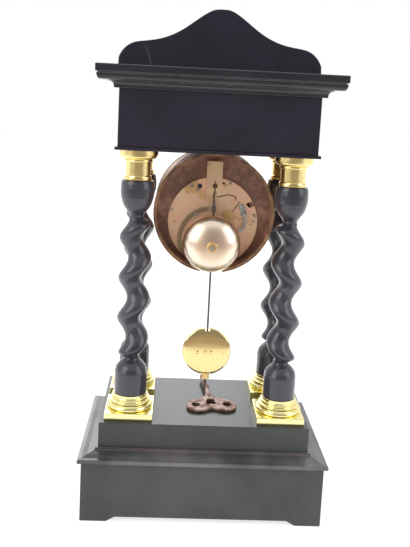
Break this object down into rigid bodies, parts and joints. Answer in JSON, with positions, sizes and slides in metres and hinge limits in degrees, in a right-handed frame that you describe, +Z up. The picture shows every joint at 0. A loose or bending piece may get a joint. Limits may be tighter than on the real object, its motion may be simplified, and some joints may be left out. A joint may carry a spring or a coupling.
{
  "type": "portico clock",
  "caption": "Ebonised portico mantel clock with twisted columns, gilt brass mounts, round striking movement, bell, pendulum and loose winding key.",
  "frame": {"origin": "middle of the underside of the case, on the surface it stands on", "axes": "+Z up, the dial faces -Y, +X to the right as seen from the dial side"},
  "size_m": [0.244, 0.155, 0.5],
  "materials": {
    "ebonised_wood": "satin",
    "gilt_brass": "polished",
    "tarnished_brass": "matte",
    "movement_brass": "satin",
    "steel": "satin",
    "blued_steel": "polished",
    "rusty_steel": "matte",
    "bell_metal": "polished",
    "glass": "polished",
    "enamel": "gloss"
  },
  "bodies": {
    "case": {"base_front_board": "ebonised_wood", "base_rear_board": "ebonised_wood", "base_side_boards": "ebonised_wood", "base_moulding": "ebonised_wood", "plinth_board": "ebonised_wood", "column_shaft_rear_right": "ebonised_wood", "column_shaft_rear_left": "ebonised_wood", "column_shaft_front_right": "ebonised_wood", "column_shaft_front_left": "ebonised_wood", "soffit_board": "ebonised_wood", "frieze_front_board": "ebonised_wood", "frieze_rear_board": "ebonised_wood", "frieze_side_boards": "ebonised_wood", "drum_hanger_board": "ebonised_wood", "bed_moulding": "ebonised_wood", "cornice_board": "ebonised_wood", "crest_board": "ebonised_wood", "column_bases": "gilt_brass", "column_capitals": "gilt_brass", "case_bolts": "steel", "wood_pins": "steel", "plate_screws": "steel", "hammer_cock": "steel", "bell_stand": "steel", "bell_nut": "steel", "drum_case": "tarnished_brass", "drum_rear_rim": "tarnished_brass", "movement_seat_ring": "tarnished_brass", "front_plate": "movement_brass", "back_plate": "movement_brass", "plate_pillars": "movement_brass", "escape_bridge": "movement_brass", "suspension_cock": "movement_brass", "bezel_frame": "gilt_brass", "bell": "bell_metal", "dial": "enamel"},
    "bezel_door": {"bezel_door": "gilt_brass", "bezel_glass": "glass"},
    "centre_arbor": {"centre_wheel": "movement_brass", "minute_hand": "blued_steel"},
    "hour_wheel": {"hour_wheel": "movement_brass", "hour_hand": "blued_steel"},
    "minute_wheel": {"minute_wheel": "movement_brass"},
    "intermediate_wheel": {"intermediate_wheel": "movement_brass"},
    "going_barrel": {"going_barrel": "movement_brass"},
    "third_wheel": {"third_wheel": "movement_brass"},
    "escape_wheel": {"escape_wheel": "movement_brass"},
    "anchor": {"anchor_crutch": "steel"},
    "pendulum": {"suspension_spring": "steel", "pendulum_rod": "steel"},
    "bob": {"pendulum_bob": "gilt_brass"},
    "rating_nut": {"rating_nut": "movement_brass"},
    "going_winding_arbor": {"going_winding_arbor": "steel"},
    "strike_winding_arbor": {"strike_winding_arbor": "steel"},
    "strike_barrel": {"strike_barrel": "movement_brass"},
    "strike_intermediate": {"strike_intermediate": "movement_brass"},
    "pin_wheel": {"pin_wheel": "movement_brass"},
    "fly": {"fly": "steel"},
    "hammer": {"hammer": "steel"},
    "winding_key": {"winding_key": "rusty_steel"}
  },
  "joints": [
    {"name": "bezel_door_hinge", "type": "hinge", "parent": "case", "child": "bezel_door", "pos_m": [-0.0614, -0.0486, 0.3026], "axis": [0, 0, -1], "range_deg": [0, 110]},
    {"name": "minute_hand_turn", "type": "hinge", "parent": "case", "child": "centre_arbor", "pos_m": [0, 0, 0.3026], "axis": [0, 1, 0], "continuous": true},
    {"name": "hour_hand_turn", "type": "hinge", "parent": "case", "child": "hour_wheel", "pos_m": [0, 0, 0.3026], "axis": [0, 1, 0], "continuous": true},
    {"name": "minute_wheel_turn", "type": "hinge", "parent": "case", "child": "minute_wheel", "pos_m": [-0.00688, 0, 0.31243], "axis": [0, 1, 0], "continuous": true},
    {"name": "intermediate_wheel_turn", "type": "hinge", "parent": "case", "child": "intermediate_wheel", "pos_m": [0.00307, 0, 0.28894], "axis": [0, 1, 0], "continuous": true},
    {"name": "going_barrel_turn", "type": "hinge", "parent": "case", "child": "going_barrel", "pos_m": [0.0195, 0, 0.279], "axis": [0, 1, 0], "continuous": true},
    {"name": "third_wheel_turn", "type": "hinge", "parent": "case", "child": "third_wheel", "pos_m": [0.01283, 0, 0.30569], "axis": [0, 1, 0], "continuous": true},
    {"name": "escape_wheel_turn", "type": "hinge", "parent": "case", "child": "escape_wheel", "pos_m": [0.011, 0, 0.3166], "axis": [0, 1, 0], "continuous": true},
    {"name": "pendulum_swing", "type": "hinge", "parent": "case", "child": "pendulum", "pos_m": [0, 0.025, 0.3225], "axis": [0, 1, 0], "range_deg": [-3.5, 3.5]},
    {"name": "anchor_rock", "type": "hinge", "parent": "case", "child": "anchor", "pos_m": [0, 0, 0.3225], "axis": [0, 1, 0], "range_deg": [-3.5, 3.5]},
    {"name": "bob_height", "type": "slide", "parent": "pendulum", "child": "bob", "axis": [0, 0, 1], "range_m": [-0.0015, 0.0015]},
    {"name": "rating_nut_turn", "type": "hinge", "parent": "bob", "child": "rating_nut", "pos_m": [0, 0.025, 0.134], "axis": [0, 0, 1], "range_deg": [-1080, 1080]},
    {"name": "going_winding_turn", "type": "hinge", "parent": "case", "child": "going_winding_arbor", "pos_m": [0.0195, 0, 0.279], "axis": [0, 1, 0], "continuous": true},
    {"name": "strike_winding_turn", "type": "hinge", "parent": "case", "child": "strike_winding_arbor", "pos_m": [-0.0195, 0, 0.279], "axis": [0, 1, 0], "continuous": true},
    {"name": "pin_wheel_turn", "type": "hinge", "parent": "case", "child": "pin_wheel", "pos_m": [-0.02185, 0, 0.30777], "axis": [0, 1, 0], "continuous": true},
    {"name": "strike_intermediate_turn", "type": "hinge", "parent": "case", "child": "strike_intermediate", "pos_m": [-0.0159, 0, 0.29786], "axis": [0, 1, 0], "continuous": true},
    {"name": "strike_barrel_turn", "type": "hinge", "parent": "case", "child": "strike_barrel", "pos_m": [-0.0195, 0, 0.279], "axis": [0, 1, 0], "continuous": true},
    {"name": "fly_turn", "type": "hinge", "parent": "case", "child": "fly", "pos_m": [-0.01685, 0, 0.31718], "axis": [0, 1, 0], "continuous": true},
    {"name": "hammer_lift", "type": "hinge", "parent": "case", "child": "hammer", "pos_m": [-0.0313, 0, 0.2999], "axis": [0, 1, 0], "range_deg": [-6, 0], "stiffness_Nm_per_rad": 0.01, "springref_deg": 8.59},
    {"name": "key_slide_off", "type": "slide", "parent": "case", "child": "winding_key", "axis": [0, 1, 0], "range_m": [0, 0.12]}
  ],
  "couplings": [
    {"joint": "hour_hand_turn", "follows": "minute_hand_turn", "ratio": 0.083333},
    {"joint": "minute_wheel_turn", "follows": "minute_hand_turn", "ratio": -0.33333},
    {"joint": "intermediate_wheel_turn", "follows": "minute_hand_turn", "ratio": -0.16667},
    {"joint": "going_barrel_turn", "follows": "minute_hand_turn", "ratio": 0.02381},
    {"joint": "third_wheel_turn", "follows": "minute_hand_turn", "ratio": -12},
    {"joint": "escape_wheel_turn", "follows": "minute_hand_turn", "ratio": 123.43},
    {"joint": "anchor_rock", "follows": "pendulum_swing", "ratio": 1},
    {"joint": "rating_nut_turn", "follows": "bob_height", "rad_per_m": 12566},
    {"joint": "strike_intermediate_turn", "follows": "pin_wheel_turn", "ratio": -0.13333},
    {"joint": "strike_barrel_turn", "follows": "pin_wheel_turn", "ratio": 0.019048},
    {"joint": "fly_turn", "follows": "pin_wheel_turn", "ratio": -10.286}
  ]
}
